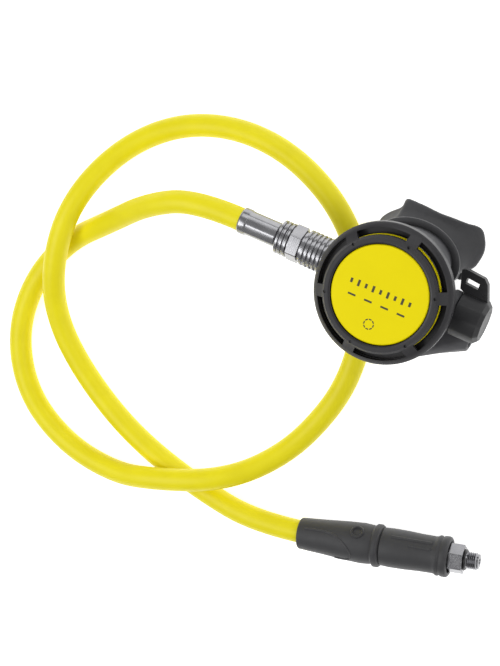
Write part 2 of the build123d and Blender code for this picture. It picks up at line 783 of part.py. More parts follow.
def bite_tab(side):
    """One bite tab: a blade down from the shield with a ridge at its end, standing on z = 0."""
    top = shield_top_z - shield_thick + 0.5
    blade = Box(bite_tab_thick, bite_tab_length, top, align=(Align.CENTER, Align.CENTER, Align.MIN))
    ridge = Box(bite_tab_thick + 2 * bite_tab_ridge, bite_tab_length, bite_tab_thick,
                align=(Align.CENTER, Align.CENTER, Align.MIN))
    tab = fillet((blade + ridge).edges().filter_by(Axis.Z), 1.2)
    return Pos(mouthpiece_center_x + side * bite_tab_gap / 2, neck_center_y, 0) * tab


def mouthpiece_strap():
    center = (0, neck_center_y)
    inner_w = neck_half_width + slip + mouthpiece_wall - 0.9 + slip
    inner_h = neck_half_height + slip + mouthpiece_wall - 0.9 + slip
    low, high = strap_z - strap_width / 2, strap_z + strap_width / 2
    band = oval_bar(inner_w + strap_thick, inner_h + strap_thick, center, low, high)
    head = Pos(-inner_w - 1.6, neck_center_y, strap_z) * Box(3.6, 6.0, strap_width)
    return (band + head) - oval_bar(inner_w, inner_h, center, low - 1, high + 1)


# ---------------------------------------------------------------- hose and first-stage end
def hose_points():
    turn = math.radians(protector_turn)
    x, y = protector_start
    ends = [(x + s * math.cos(turn), y + s * math.sin(turn), protector_axis_z) for s in (-approach, hose_inside)]
    return [Vector(*p) for p in hose_route + ends]


def hose():
    points = hose_points()
    radii = []
    for before, here, after in zip(points, points[1:], points[2:]):
        first, second = here - before, after - here
        half_turn = math.radians(first.get_angle(second) / 2)
        radii.append(0.45 * min(first.length, second.length) / math.tan(half_turn))
    print("hose radii", [round(r, 1) for r in radii])
    path = FilletPolyline(*points, radius=radii)
    section = Plane(points[0], z_dir=points[1] - points[0]) * Circle(hose_diameter / 2)
    tube = sweep(section, path=path)
    area = math.pi * hose_diameter ** 2 / 4
    print("hose length", round(path.length, 1), "volume over section times length",
          round(tube.volume / (area * path.length), 5))
    return tube


def protector_front():
    body = turned_x([
        (0, hose_diameter / 2 + 2 * slip), (0, protector_mouth_radius - 0.5), (0.6, protector_mouth_radius),
        (collar_at - 5, protector_waist_radius), (collar_at, protector_waist_radius),
        (collar_at + 0.8, collar_radius), (collar_at + collar_width - 0.8, collar_radius),
        (collar_at + collar_width, collar_radius - 0.8), (collar_at + collar_width, first_ferrule_radius + slip),
        (hose_inside - clear, first_ferrule_radius + slip), (hose_inside - clear, hose_diameter / 2 + 2 * slip),
    ])
    return on_protector(body)


def protector_rear():
    start = collar_at + collar_width + clear
    flange = protector_length - end_flange_width
    hex_room = hex_flats / math.sqrt(3) + slip
    body = turned_x([
        (start, first_ferrule_radius + slip), (start, protector_rear_radius + 0.4),
        (flange - 3, protector_rear_radius), (flange, end_flange_radius - 0.6),
        (flange + 1, end_flange_radius), (protector_length - 1, end_flange_radius),
        (protector_length, end_flange_radius - 1), (protector_length, hex_room),
        (hex_start - clear, hex_room), (hex_start - clear, first_ferrule_radius + slip),
    ])
    return on_protector(body)


def first_stage_ferrule():
    end = hose_inside + first_ferrule_length
    body = bar_x(hose_inside, end, first_ferrule_radius)
    return on_protector(body - bar_x(hose_inside - 1, end + 1, barb_radius + running))


def first_stage_fitting():
    ferrule_back = hose_inside + first_ferrule_length
    shank = turned_x([
        (hose_inside + 3.5, 0), (hose_inside + 3.5, barb_radius), (ferrule_back, barb_radius),
        (ferrule_back, shank_radius), (hex_start, shank_radius), (hex_end, shank_radius),
        (hex_end, port_thread_radius - 0.5), (hex_end + fitting_o_ring_wire, port_thread_radius - 0.5),
        (hex_end + fitting_o_ring_wire + 0.4, port_thread_radius), (port_thread_end - 0.7, port_thread_radius),
        (port_thread_end, port_thread_radius - 0.7), (port_thread_end, 0),
    ])
    nut = Pos(hex_start, 0, 0) * Rot(0, 90, 0) * hex_bar(hex_flats, hex_end - hex_start)
    return on_protector((shank + nut) - bar_x(hose_inside, port_thread_end + 1, air_bore))


def fitting_o_ring():
    wire = fitting_o_ring_wire / 2 - running
    major = port_thread_radius - 0.5 + wire + running
    return on_protector(Pos(hex_end + fitting_o_ring_wire / 2, 0, 0) * Rot(0, 90, 0) * ring(major, wire))


# ---------------------------------------------------------------- assembly
makers = [
    cover_ring, purge_button, purge_spring, diaphragm_guard, diaphragm, diaphragm_center, diaphragm_disc,
    wear_disc, housing,
    exhaust_valve, exhaust_tee, valve_barrel, orifice, poppet, poppet_seat, poppet_spring, spring_pad,
    adjusting_nut, demand_lever, venturi_lever, lever_cap, venturi_vane, lever_clip, lever_o_ring,
    inlet_fitting, barrel_o_ring, swivel_nut, hose_stem, stem_o_ring, second_stage_ferrule, mouthpiece,
    mouthpiece_strap, hose, protector_front, protector_rear, first_stage_ferrule, first_stage_fitting,
    fitting_o_ring,
]
on_the_hose = {"hose", "protector_front", "protector_rear", "first_stage_ferrule", "first_stage_fitting",
               "fitting_o_ring"}
nodes = {maker.__name__: maker() for maker in makers}
own = [shape.bounding_box() for name, shape in nodes.items() if name not in on_the_hose]
center_x = (min(b.min.X for b in own) + max(b.max.X for b in own)) / 2
center_y = (min(b.min.Y for b in own) + max(b.max.Y for b in own)) / 2
lowest = min(b.min.Z for b in own)
print("axis of the face in the row's frame", round(-center_x, 4), round(-center_y, 4), round(-lowest, 4))

os.makedirs("parts", exist_ok=True)
for name, shape in nodes.items():
    export_step(Pos(-center_x, -center_y, -lowest) * shape, f"parts/{name}.step")
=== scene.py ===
# %% [markdown]
# A scuba second stage lies face up beside its yellow hose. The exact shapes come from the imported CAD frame.
# This lesson dresses them: edges get the small rounding that moulding and turning leave, the hose becomes
# one smooth flexible line, and each surface gets the finish of what it is made of.

# %% Load the frame
import bpy
import bmesh
import json
import math
from mathutils import Matrix, Vector


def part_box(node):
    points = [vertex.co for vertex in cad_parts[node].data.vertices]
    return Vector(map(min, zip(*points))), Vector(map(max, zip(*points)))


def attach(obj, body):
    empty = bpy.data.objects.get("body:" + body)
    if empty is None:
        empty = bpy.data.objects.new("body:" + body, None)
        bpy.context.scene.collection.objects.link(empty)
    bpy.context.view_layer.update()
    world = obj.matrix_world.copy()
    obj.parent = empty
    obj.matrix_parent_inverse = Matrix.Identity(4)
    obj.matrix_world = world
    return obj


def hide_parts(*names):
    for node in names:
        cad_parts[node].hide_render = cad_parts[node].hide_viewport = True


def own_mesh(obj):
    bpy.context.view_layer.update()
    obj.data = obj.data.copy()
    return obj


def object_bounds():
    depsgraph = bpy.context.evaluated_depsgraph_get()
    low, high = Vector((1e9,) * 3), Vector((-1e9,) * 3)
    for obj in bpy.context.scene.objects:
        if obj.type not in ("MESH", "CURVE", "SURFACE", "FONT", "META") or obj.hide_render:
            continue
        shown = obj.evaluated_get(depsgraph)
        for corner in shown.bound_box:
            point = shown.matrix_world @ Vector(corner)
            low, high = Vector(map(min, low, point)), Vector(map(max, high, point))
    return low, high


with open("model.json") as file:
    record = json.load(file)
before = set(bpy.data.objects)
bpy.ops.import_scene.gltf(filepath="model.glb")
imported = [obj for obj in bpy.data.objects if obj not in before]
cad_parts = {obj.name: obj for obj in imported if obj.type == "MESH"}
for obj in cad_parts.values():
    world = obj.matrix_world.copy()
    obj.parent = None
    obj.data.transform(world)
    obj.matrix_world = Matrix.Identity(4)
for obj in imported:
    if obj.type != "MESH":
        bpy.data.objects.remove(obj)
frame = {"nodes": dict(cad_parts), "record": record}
cad_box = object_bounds()
nodes = frame["nodes"]
print("nodes", len(nodes), "box", cad_box)

# %% [markdown]
# Everything on the second stage is laid out round two lines: the axis of the face, which stands up through
# the purge button, and the valve axis, which lies across the case. Both are read from the frame, and the
# pieces are then drawn in millimetres round them, because the real maker's drawing is in millimetres too.

# %% The two axes, in millimetres
def middle(node):
    low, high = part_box(node)
    return (Vector(low) + Vector(high)) / 2


face = middle("purge_button") * 1000
valve_height = middle("adjusting_nut").z * 1000
face_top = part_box("cover_ring")[1][2] * 1000
to_metres = Matrix.Diagonal((0.001, 0.001, 0.001, 1))
on_face = to_metres @ Matrix.Translation((face.x, face.y, 0))
on_valve = on_face @ Matrix.Translation((0, 0, valve_height)) @ Matrix.Rotation(math.radians(90), 4, "Y")
print("face axis", face.xy, "valve axis at", valve_height, "rim of the cover at", face_top)

# %% [markdown]
# The camera comes first, so that the hose can be judged against the view from the start. It looks down from
# above the mouthpiece side, a little from the lever side, through a long lens, as a catalogue camera does.

# %% Camera
view_turn, view_rise, view_distance, page_turn = 47.8, 68.75, 1.1364, 20.4
aim = Vector((face.x - 75.6, face.y - 66.9, 0)) / 1000
turn, rise = math.radians(view_turn), math.radians(view_rise)
back = Vector((math.cos(rise) * math.cos(turn), math.cos(rise) * math.sin(turn), math.sin(rise)))
page_up = Vector((-math.sin(math.radians(page_turn)), math.cos(math.radians(page_turn)), 0))
page_up = (page_up - page_up.dot(back) * back).normalized()
right = page_up.cross(back)
camera = bpy.data.objects.new("camera", bpy.data.cameras.new("camera"))
bpy.context.collection.objects.link(camera)
facing = Matrix((right, page_up, back)).transposed().to_4x4()
camera.matrix_world = Matrix.Translation(aim + back * view_distance) @ facing
camera.data.lens = 111.9
camera.data.sensor_width = 36
camera.data.clip_start = 0.05
bpy.context.scene.camera = camera
print("camera at", camera.matrix_world.translation)

# %% [markdown]
# Every finish below is a small node tree round one Principled shader. Colours are the familiar hex codes of
# the screen, and one function turns them into the linear light that the renderer works in. A second small
# function adds a node, sets it and joins it up, and a third starts a finish. Patterns read Object coordinates,
# which are metres here, so a noise scale of 1000 divided by a size in millimetres gives grains of that size.

# %% Helpers for finishes
def color(code):
    parts = [int(code[k:k + 2], 16) / 255 for k in (0, 2, 4)]
    return [p / 12.92 if p < 0.04045 else ((p + 0.055) / 1.055) ** 2.4 for p in parts] + [1.0]


def add(tree, kind, settings=None, links=None):
    node = tree.nodes.new(kind)
    for key, value in (settings or {}).items():
        if isinstance(key, str) and hasattr(node, key):
            setattr(node, key, value)
        else:
            node.inputs[key].default_value = value
    for key, socket in (links or {}).items():
        tree.links.new(socket, node.inputs[key])
    return node


def new_finish(name, **settings):
    material = bpy.data.materials.new(name)
    material.use_nodes = True
    shader = material.node_tree.nodes["Principled BSDF"]
    for key, value in settings.items():
        shader.inputs[key.replace("_", " ")].default_value = value
    return material, material.node_tree, shader


# %% [markdown]
# Moulded plastic and rubber share one way of being real: the colour drifts very slightly, the polish differs
# from place to place, and the skin has the fine grain of the steel mould. So one recipe makes them all from
# two close colours, a roughness range, a grain size and a grain depth.

# %% The moulded finish
def moulded(name, dark, light, dull, polish, grain_mm, grain_depth_mm, cloud_mm=9.0, **settings):
    material, tree, shader = new_finish(name, **settings)
    place = add(tree, "ShaderNodeTexCoord").outputs["Object"]
    cloud = add(tree, "ShaderNodeTexNoise", {"Scale": 1000 / cloud_mm, "Detail": 3.0, "Roughness": 0.55},
                {"Vector": place})
    tint = add(tree, "ShaderNodeMix", {"data_type": "RGBA", 6: color(dark), 7: color(light)},
               {0: cloud.outputs["Fac"]})
    tree.links.new(tint.outputs[2], shader.inputs["Base Color"])
    gloss = add(tree, "ShaderNodeTexNoise", {"Scale": 1000 / (cloud_mm * 0.4), "Detail": 4.0},
                {"Vector": place})
    spread = add(tree, "ShaderNodeMapRange", {"To Min": polish, "To Max": dull},
                 {"Value": gloss.outputs["Fac"]})
    tree.links.new(spread.outputs["Result"], shader.inputs["Roughness"])
    grain = add(tree, "ShaderNodeTexNoise", {"Scale": 1000 / grain_mm, "Detail": 2.0}, {"Vector": place})
    bump = add(tree, "ShaderNodeBump", {"Strength": 1.0, "Distance": grain_depth_mm / 1000},
               {"Height": grain.outputs["Fac"]})
    tree.links.new(bump.outputs["Normal"], shader.inputs["Normal"])
    return material


# Extruded thermoplastic hose jacket: dense yellow with a soft sheen, faint flow clouding along its length.
hose_jacket = moulded("extruded_hose_jacket", "DED000", "EEE208", 0.52, 0.4, 0.8, 0.02,
                      cloud_mm=14, IOR=1.5, Specular_IOR_Level=0.35)
# Purge plate: injection-moulded ABS in one bright yellow, satin, with hardly any drift of colour.
purge_abs = moulded("yellow_moulded_abs", "E6D500", "EEDD00", 0.5, 0.4, 0.5, 0.004,
                    cloud_mm=16, IOR=1.5, Specular_IOR_Level=0.1)
# Cover ring: glass-filled nylon from a polished tool, near black with a satin skin.
cover_nylon = moulded("black_satin_nylon", "1C1B1E", "272629", 0.46, 0.34, 0.6, 0.006,
                      IOR=1.5, Specular_IOR_Level=0.4)
# Case: the same nylon from a spark-eroded tool, greyer and more matt.
case_nylon = moulded("grey_matt_nylon", "3D3D40", "474749", 0.62, 0.5, 0.7, 0.012,
                     IOR=1.5, Specular_IOR_Level=0.35)
# Mouthpiece: moulded silicone rubber, which looks soft because light is scattered at its skin.
mouth_rubber = moulded("moulded_silicone_rubber", "38383A", "444446", 0.6, 0.46, 0.8, 0.012,
                       IOR=1.41, Sheen_Weight=0.12)
# Exhaust tee: a stiffer moulded rubber.
tee_rubber = moulded("moulded_tee_rubber", "404042", "4B4B4E", 0.6, 0.48, 0.8, 0.012,
                     IOR=1.47, Sheen_Weight=0.08)
# Hose protector: matt moulded rubber that picks up a little dust.
sleeve_rubber = moulded("moulded_sleeve_rubber", "2B2B2D", "363638", 0.66, 0.5, 0.9, 0.02,
                        IOR=1.5, Sheen_Weight=0.1)
# Venturi lever and its cap: black acetal, slightly waxy.
lever_acetal = moulded("black_acetal", "1B1B1D", "252527", 0.5, 0.38, 0.6, 0.008,
                       IOR=1.48, Specular_IOR_Level=0.4)
# O-rings: nitrile rubber, wiped with silicone grease, so darker and glossier.
nitrile = moulded("greased_nitrile", "0D0D0E", "161617", 0.4, 0.24, 0.5, 0.004,
                  cloud_mm=3, IOR=1.52)
# Working parts inside the case: natural white acetal.
white_acetal = moulded("white_acetal", "D8D6CE", "E4E2DB", 0.45, 0.34, 0.6, 0.006, IOR=1.48)
# Diaphragm and exhaust flap: clear silicone rubber, milky in thin sheets.
clear_silicone = moulded("milky_silicone", "B9BCBB", "CDD0CF", 0.42, 0.28, 0.7, 0.006,
                         IOR=1.41, Transmission_Weight=0.35)
# Printed marks on the purge plate: pad-printing ink, dark olive and matt.
print_ink = moulded("pad_printing_ink", "38340A", "45400C", 0.55, 0.45, 0.3, 0.002,
                    cloud_mm=2, IOR=1.5)
print("moulded finishes ready")

# %% [markdown]
# Turned brass parts are nickel and chrome plated. The plating copies the fine rings that the lathe tool left,
# so the bump is a wave along the part's own axis, a hundredth of a millimetre deep, and the mirror is
# broken by tiny differences of polish. Plain steel parts are the same without the blue-white of chrome.

# %% Metal finishes
def turned_metal(name, dark, light, dull, polish, ring_mm, ring_depth_mm, direction=(1.0, 0.0, 0.0)):
    material, tree, shader = new_finish(name, Metallic=1.0)
    place = add(tree, "ShaderNodeTexCoord").outputs["Object"]
    cloud = add(tree, "ShaderNodeTexNoise", {"Scale": 1000 / 5.0, "Detail": 4.0}, {"Vector": place})
    tint = add(tree, "ShaderNodeMix", {"data_type": "RGBA", 6: color(dark), 7: color(light)},
               {0: cloud.outputs["Fac"]})
    tree.links.new(tint.outputs[2], shader.inputs["Base Color"])
    spread = add(tree, "ShaderNodeMapRange", {"To Min": polish, "To Max": dull},
                 {"Value": cloud.outputs["Fac"]})
    tree.links.new(spread.outputs["Result"], shader.inputs["Roughness"])
    along = add(tree, "ShaderNodeVectorMath", {"operation": "DOT_PRODUCT", 1: direction}, {0: place})
    rings = add(tree, "ShaderNodeTexNoise",
                {"noise_dimensions": "1D", "Scale": 1000 / ring_mm, "Detail": 3.0},
                {"W": along.outputs["Value"]})
    bump = add(tree, "ShaderNodeBump", {"Strength": 1.0, "Distance": ring_depth_mm / 1000},
               {"Height": rings.outputs["Fac"]})
    tree.links.new(bump.outputs["Normal"], shader.inputs["Normal"])
    return material


protector_heading = math.radians(16.3)
hose_way = (math.cos(protector_heading), math.sin(protector_heading), 0.0)
# Fitting, nut and ferrule on the valve axis: chrome over turned brass.
chrome = turned_metal("chromed_turned_brass", "87878A", "A2A2A5", 0.3, 0.2, 0.5, 0.01)
# The same plating on the first-stage end, whose axis lies another way.
end_chrome = turned_metal("chromed_end_fitting", "7E7E81", "98989B", 0.28, 0.17, 0.5, 0.01,
                          hose_way)
# Springs, clip and lever: bright drawn and pressed stainless steel.
stainless = turned_metal("drawn_stainless_steel", "8E8E90", "B0B0B2", 0.38, 0.24, 0.4, 0.004)
# Valve seat and barrel: plated brass that shows some of its warmth.
plated_brass = turned_metal("nickelled_brass", "A89878", "C2B594", 0.36, 0.22, 0.5, 0.006)
print("metal finishes ready")

# %% [markdown]
# The record gives each part a material slot. This list says which finish dresses which slot, so a carried
# over CAD part and a new piece that stands for it always agree.

# %% Finishes by slot
finish_of = {
    "purge_yellow": purge_abs, "hose_yellow": hose_jacket, "cover_black": cover_nylon,
    "case_grey": case_nylon, "mouth_rubber": mouth_rubber, "tee_rubber": tee_rubber,
    "sleeve_rubber": sleeve_rubber, "lever_plastic": lever_acetal, "chrome_plate": chrome,
    "steel": stainless, "brass_plated": plated_brass, "silicone": clear_silicone,
    "o_ring_black": nitrile, "inner_plastic": white_acetal,
}
slot_of = {part["node"]: part["material_slot"] for part in frame["record"]["subparts"]}
for name, part in nodes.items():
    dressing = finish_of[slot_of[name]]
    if name in ("first_stage_fitting", "first_stage_ferrule"):
        dressing = end_chrome
    for place in part.material_slots:
        place.material = dressing
print("dressed", len(slot_of), "nodes")

# %% [markdown]
# A low-pressure hose is a thick rubber tube that keeps the curve of its box, so it lies in big lazy loops.
# Its line is one smooth spline through listed control points: out of the ferrule, down to the table,
# once round, over itself in two long low humps, and into the protector. The round section is the curve's own
# bevel. Order and end points are set after the points exist, or the spline would stay straight-sided.

# %% The hose
hose_width = 12.5
route = [
    (-89.5, 0, 43.2), (-117, 0, 43.2), (-144, -14.5, 35.5), (-167, -36.5, 18.5),
    (-190, -58, 6.6), (-203, -88, 6.25), (-202, -122, 6.25), (-184, -152, 6.25),
    (-153, -169, 6.25), (-118, -170, 12.5), (-92, -160, 20.5), (-62, -147, 20.5),
    (-41, -131, 13), (-24, -106, 6.25), (-12, -66, 6.25), (-19, -22, 6.25),
    (-44, 14, 6.25), (-80, 34, 6.25), (-117, 38, 6.25), (-152, 26.5, 6.25),
    (-178, 1, 11), (-190.5, -34, 23), (-189.5, -70, 23), (-181, -101, 12),
    (-157, -126, 6.25), (-119, -147, 6.25), (-74, -159, 6.25),
]
sleeve_start = Vector((-7.1, -155.8, 11.75))
sleeve_way = Vector(hose_way)
approach, hose_inside = 21.0, 23.6
line = [Vector(p) for p in route]
line += [sleeve_start - approach * sleeve_way, sleeve_start + hose_inside * sleeve_way]
curve = bpy.data.curves.new("hose_line", "CURVE")
curve.dimensions = "3D"
spline = curve.splines.new("NURBS")
spline.points.add(len(line) - 1)
for point, place in zip(spline.points, line):
    point.co = (on_face @ place).to_4d()
spline.order_u = 3
spline.use_endpoint_u = True
spline.resolution_u = 12
curve.bevel_depth = hose_width / 2000
curve.bevel_resolution = 10
curve.use_fill_caps = True
curve.materials.append(hose_jacket)
hose = bpy.data.objects.new("hose_tube", curve)
bpy.context.collection.objects.link(hose)
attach(hose, "root")
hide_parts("hose")
print("hose drawn with", len(line), "control points")

# %% [markdown]
# The CAD parts have knife-sharp edges, and nothing moulded or turned does. So the parts that the eye falls on
# are copied, their loose triangles are merged and the flat ones joined, and their sharp edges get a bevel of
# a few tenths of a millimetre. Weighted normals keep the large faces flat beside the small round.

# %% Helpers for pieces
def put_in(name, mesh, material, body="root", replaces=(), sharp=40):
    piece = bpy.data.objects.new(name, mesh)
    bpy.context.collection.objects.link(piece)
    mesh.materials.clear()
    mesh.materials.append(material)
    for polygon in mesh.polygons:
        polygon.use_smooth = True
        polygon.material_index = 0
    mesh.set_sharp_from_angle(angle=math.radians(sharp))
    even = piece.modifiers.new("even shading", "WEIGHTED_NORMAL")
    even.keep_sharp = True
    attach(piece, body)
    if replaces:
        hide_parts(*replaces)
    return piece


def merged_copy(node):
    form = bmesh.new()
    form.from_mesh(nodes[node].data)
    bmesh.ops.remove_doubles(form, verts=form.verts, dist=0.000004)
    return form


def soften(form, width, angle=32):
    """Bevels every edge that is sharper than the angle, in degrees."""
    sharp = [edge for edge in form.edges
             if len(edge.link_faces) == 2 and edge.calc_face_angle(0) > math.radians(angle)]
    bmesh.ops.bevel(form, geom=sharp, offset=width, offset_type="OFFSET", affect="EDGES",
                    segments=3, profile=0.5, material=-1, clamp_overlap=True)


def to_mesh(name, form):
    mesh = bpy.data.meshes.new(name)
    form.to_mesh(mesh)
    form.free()
    return mesh


bodies = frame["record"]["behaviour"]["bodies"]
body_of = {node: body for body, names in bodies.items() for node in names}


def rounded_copy(node, name, width_mm):
    form = merged_copy(node)
    bmesh.ops.dissolve_limit(form, angle_limit=math.radians(1.0), verts=form.verts, edges=form.edges)
    soften(form, width_mm / 1000)
    piece = put_in(name, to_mesh(name, form), finish_of[slot_of[node]], body_of[node], (node,))
    print(name, "faces", len(piece.data.polygons))
    return piece


# %% [markdown]
# The cover, the purge plate, the ribbed nut, the finned fitting and the cable tie need nothing but that edge.
# Plastic gets about a third of a millimetre, machined brass half as much.

# %% Rounded copies
rounded_copy("cover_ring", "cover_ring_rounded", 0.35)
rounded_copy("purge_button", "purge_plate", 0.3)
rounded_copy("swivel_nut", "ribbed_nut", 0.15)
rounded_copy("inlet_fitting", "finned_fitting", 0.12)
rounded_copy("mouthpiece_strap", "cable_tie", 0.3)


# %% [markdown]
# Two parts need more than a bevel. The hose ferrule is squeezed by eight jaws, which leave long shallow flats,
# and the lever knob has ten flats for cold fingers. Both are a round part whose skin is pulled in between its
# corners, so after the bevel each vertex of that stretch moves towards the axis by what the flat asks for. Two
# fine index ticks stand on the lever's plate, and turn with it.

# %% Flats on round parts
def press_flats(piece, sides, start_mm, end_mm, least_radius_mm, share):
    """Pulls the skin between two places along the valve axis towards a prism with that many sides."""
    inverse = on_valve.inverted()
    for vertex in piece.data.vertices:
        spot = inverse @ vertex.co
        radius = math.hypot(spot.x, spot.y)
        if start_mm < spot.z < end_mm and radius > least_radius_mm:
            step = 2 * math.pi / sides
            off = (math.atan2(spot.y, spot.x) % step) - step / 2
            pull = 1 - share * (1 - math.cos(step / 2) / math.cos(off))
            vertex.co = on_valve @ Vector((spot.x * pull, spot.y * pull, spot.z))
    piece.data.update()


knob = rounded_copy("venturi_lever", "lever_knob", 0.7)
press_flats(knob, sides=10, start_mm=34.5, end_mm=60, least_radius_mm=8.5, share=0.9)
ticks = bmesh.new()
tick_size, tick_middle, tick_gap = (3.0, 0.45, 0.4), (44.6, 13.2, 2.55), 0.65
for side in (-1, 1):
    tick = bmesh.ops.create_cube(ticks, size=1)["verts"]
    bmesh.ops.scale(ticks, vec=tick_size, verts=tick)
    bmesh.ops.translate(ticks, vec=Vector(tick_middle) + Vector((0, side * tick_gap, 0)), verts=tick)
on_plate = on_face @ Matrix.Translation((0, 0, valve_height))
bmesh.ops.transform(ticks, matrix=on_plate, verts=ticks.verts)
put_in("lever_index_ticks", to_mesh("lever_index_ticks", ticks), lever_acetal,
       body_of["venturi_lever"], ())
ferrule = rounded_copy("second_stage_ferrule", "crimped_ferrule", 0.25)
press_flats(ferrule, sides=8, start_mm=-84.6, end_mm=-60, least_radius_mm=5.6, share=0.45)
print("ferrule and knob pressed flat")


# %% [markdown]
# The mouthpiece is one soft skin: a collar that grips the oval neck, a bead, the groove for the cable tie, a
# waist, and the wide lip shield that curves back round the face and rises to two corners. It is drawn as a
# row of closed loops, each a circle pushed to its shape, and bridged to the next. Two bite tabs stand below.

# %% Mouthpiece
def smooth_value(keys, angle):
    """Reads a smooth closed curve of (angle, value) keys, in degrees."""
    count = len(keys)
    angle = angle % 360
    for k in range(count):
        a0, v0 = keys[k]
        a1, v1 = keys[(k + 1) % count]
        span = (a1 - a0) % 360
        part = (angle - a0) % 360
        if part < span:
            before, after = keys[k - 1][1], keys[(k + 2) % count][1]
            t = part / span
            return 0.5 * (2 * v0 + (v1 - before) * t + (2 * before - 5 * v0 + 4 * v1 - after) * t * t
                          + (3 * v0 - before - 3 * v1 + after) * t ** 3)
    return keys[0][1]


shield_keys = [
    (3, 24.7), (13, 26.8), (24, 29.0), (36, 30.3), (45, 30.8), (50, 29.6), (57, 26.6), (66, 24.4),
    (78, 22.8), (90, 22.1), (102, 22.7), (113, 24.4), (122, 26.4), (129, 28.6), (133, 30.0),
    (136, 30.2), (139, 29.0), (143, 27.9), (150, 28.4), (160, 30.4), (171, 32.2), (181, 31.0),
    (192, 28.0), (206, 24.6), (226, 20.4), (248, 17.6), (270, 16.6), (292, 16.8), (314, 17.4),
    (332, 18.0), (346, 19.0), (355, 21.6),
]
shield_middle = Vector((4.2, 17.0, 0))
shield_height, shield_droop = 18.2, 0.0085
neck_middle_y = 15.5


def oval_loop(half_width, half_height, z):
    def place(angle):
        return Vector((half_width * math.cos(angle), neck_middle_y + half_height * math.sin(angle), z))
    return place


def shield_loop(scale, rise):
    def place(angle):
        reach = scale * smooth_value(shield_keys, math.degrees(angle))
        spot = shield_middle + Vector((math.cos(angle), math.sin(angle), 0)) * reach
        spot.z = shield_height - shield_droop * (spot.x - shield_middle.x) ** 2 + rise
        return spot
    return place


def between(first, second, share, rise=0.0):
    def place(angle):
        return first(angle).lerp(second(angle), share) + Vector((0, 0, rise))
    return place


def skin_of_loops(places, corners):
    """Bridges circles pushed to their places, one after another, and the last to the first."""
    form = bmesh.new()
    rings = []
    for place in places:
        ring = bmesh.ops.create_circle(form, segments=corners, radius=1)["verts"]
        for vertex in ring:
            vertex.co = place(math.atan2(vertex.co.y, vertex.co.x))
        rings.append(list({edge for vertex in ring for edge in vertex.link_edges}))
    for near, far in zip(rings, rings[1:] + rings[:1]):
        bmesh.ops.bridge_loops(form, edges=near + far)
    bmesh.ops.recalc_face_normals(form, faces=form.faces)
    return form


waist = oval_loop(23.6, 17.4, 22.4)
rim = shield_loop(0.97, 0.9)
hollow = oval_loop(17.0, 11.0, 14.6)
mouth_loops = [
    oval_loop(21.0, 15.0, 20.6), oval_loop(21.0, 15.0, 29.0), oval_loop(22.2, 16.2, 29.6),
    oval_loop(23.8, 17.8, 29.6), oval_loop(24.8, 18.7, 29.0), oval_loop(25.0, 18.9, 28.2),
    oval_loop(24.7, 18.6, 27.4), oval_loop(23.6, 17.5, 27.1), oval_loop(22.4, 16.4, 27.0),
    oval_loop(22.4, 16.4, 23.4), oval_loop(23.0, 16.9, 22.9), waist,
    between(waist, rim, 0.3, -1.2), between(waist, rim, 0.6, -1.1), between(waist, rim, 0.85, -0.3), rim,
    shield_loop(0.99, 0.5), shield_loop(1.0, -0.3), shield_loop(0.99, -1.2), shield_loop(0.96, -1.7),
    between(shield_loop(0.96, -1.7), hollow, 0.4), between(shield_loop(0.96, -1.7), hollow, 0.8), hollow,
    oval_loop(13.6, 7.6, 14.6), oval_loop(13.0, 7.0, 15.4), oval_loop(13.0, 7.0, 20.2),
    oval_loop(13.6, 7.6, 20.6),
]
form = skin_of_loops(mouth_loops, 144)
tab_long, tab_high, tab_thick, lug_wide, tab_apart = 17, 17.0, 3.2, 6.4, 17
for side in (-1, 1):
    tab = bmesh.new()
    bmesh.ops.create_cube(tab, size=1)
    bmesh.ops.scale(tab, vec=(tab_thick, tab_long, tab_high), verts=tab.verts)
    bmesh.ops.translate(tab, vec=(0, 0, tab_high / 2), verts=tab.verts)
    lug = bmesh.ops.create_cube(tab, size=1)["verts"]
    bmesh.ops.scale(tab, vec=(lug_wide, tab_long, tab_thick), verts=lug)
    bmesh.ops.translate(tab, vec=(0, 0, tab_thick / 2), verts=lug)
    bmesh.ops.bevel(tab, geom=list(tab.edges), offset=1.2, offset_type="OFFSET", affect="EDGES",
                    segments=4, profile=0.5, material=-1, clamp_overlap=True)
    bmesh.ops.translate(tab, vec=(3 + side * tab_apart, neck_middle_y, 0), verts=tab.verts)
    part = to_mesh("tab", tab)
    form.from_mesh(part)
    bpy.data.meshes.remove(part)
bmesh.ops.transform(form, matrix=on_face, verts=form.verts)
put_in("mouthpiece_rubber", to_mesh("mouthpiece_rubber", form), mouth_rubber, "root", ("mouthpiece",))
print("mouthpiece drawn from", len(mouth_loops), "loops")

# %% [markdown]
# The hose protector is two moulded sleeves. The front one swells towards a bead, the rear one ends in two
# beads. Turned profiles give both, and then low relief is laid on: the edge of a thumb rest, a plain round
# pad, and two plain bars where such sleeves usually carry moulded wording.

# %% Sleeves
on_sleeve = on_face @ Matrix.Translation(sleeve_start) @ Matrix.Rotation(protector_heading, 4, "Z") \
    @ Matrix.Rotation(math.radians(90), 4, "Y")


def turned(profile, steps=96):
    """Spins (radius, height) points round Z into a closed skin, in millimetres."""
    form = bmesh.new()
    chain = [form.verts.new((radius, 0, height)) for radius, height in profile]
    edges = [form.edges.new((a, b)) for a, b in zip(chain, chain[1:] + chain[:1])]
    bmesh.ops.spin(form, geom=chain + edges, axis=(0, 0, 1), cent=(0, 0, 0), dvec=(0, 0, 0),
                   angle=2 * math.pi, steps=steps, use_merge=True, use_duplicate=False)
    bmesh.ops.remove_doubles(form, verts=form.verts, dist=0.0005)
    bmesh.ops.recalc_face_normals(form, faces=form.faces)
    return form


def turned_sleeve(name, profile, node):
    form = turned(profile)
    bmesh.ops.transform(form, matrix=on_sleeve, verts=form.verts)
    return put_in(name, to_mesh(name, form), sleeve_rubber, "root", (node,))


